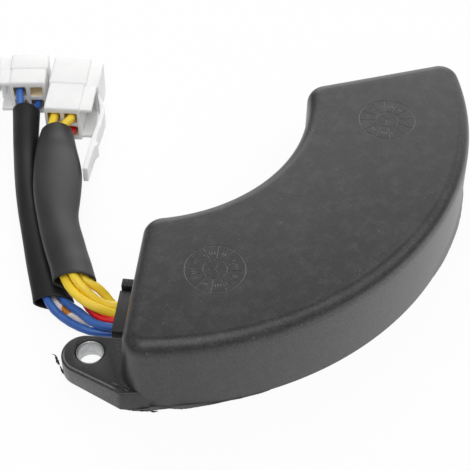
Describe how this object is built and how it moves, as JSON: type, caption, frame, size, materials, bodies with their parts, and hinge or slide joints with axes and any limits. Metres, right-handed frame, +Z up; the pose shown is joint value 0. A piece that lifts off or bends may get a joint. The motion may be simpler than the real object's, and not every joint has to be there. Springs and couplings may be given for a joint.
{
  "type": "automatic voltage regulator",
  "caption": "Crescent-shaped potted voltage regulator of a portable generator set, with bushed bolt ears and sleeved leads that end in latching plugs.",
  "frame": {"origin": "centre of the housing's bounding box on its mounting face, leads left out", "axes": "+X along the line between the two bolts, +Y towards the shaft and the leads, +Z up out of the mounting face"},
  "size_m": [0.126, 0.1253, 0.02],
  "materials": {
    "housing_plastic": "fine spark texture, satin",
    "bush_steel": "bright rolled steel",
    "potting_compound": "cast, slightly glossy",
    "board": "solder mask",
    "sink_aluminium": "mill finish",
    "component_black": "moulded epoxy",
    "screw_steel": "zinc plated",
    "capacitor_sleeve": "shrunk sleeve",
    "film_coating": "dipped epoxy",
    "resistor_coating": "flameproof coating",
    "resistor_body": "lacquer",
    "guide_plastic": "moulded",
    "yellow_insulation": "soft extruded",
    "red_insulation": "soft extruded",
    "blue_insulation": "soft extruded",
    "white_insulation": "soft extruded",
    "sleeve_vinyl": "matt soft vinyl",
    "plug_nylon": "translucent natural nylon",
    "terminal_brass": "stamped"
  },
  "bodies": {
    "root": {"housing": "housing_plastic", "mounting_bushes": "bush_steel", "potting": "potting_compound", "circuit_board": "board", "heat_sink": "sink_aluminium", "power_transistor": "component_black", "transistor_screw": "screw_steel", "bridge_rectifier": "component_black", "electrolytic_capacitor": "capacitor_sleeve", "film_capacitor": "film_coating", "control_chip": "component_black", "power_resistors": "resistor_coating", "rectifier_diodes": "component_black", "signal_resistors": "resistor_body", "wire_guide": "guide_plastic", "yellow_wire_1": "yellow_insulation", "yellow_wire_2": "yellow_insulation", "yellow_wire_3": "yellow_insulation", "red_wire": "red_insulation", "blue_wire_1": "blue_insulation", "blue_wire_2": "blue_insulation", "white_wire": "white_insulation", "front_sleeve": "sleeve_vinyl", "rear_sleeve": "sleeve_vinyl", "front_plug": "plug_nylon", "rear_plug": "plug_nylon", "front_terminals": "terminal_brass", "rear_terminals": "terminal_brass"}
  },
  "joints": []
}
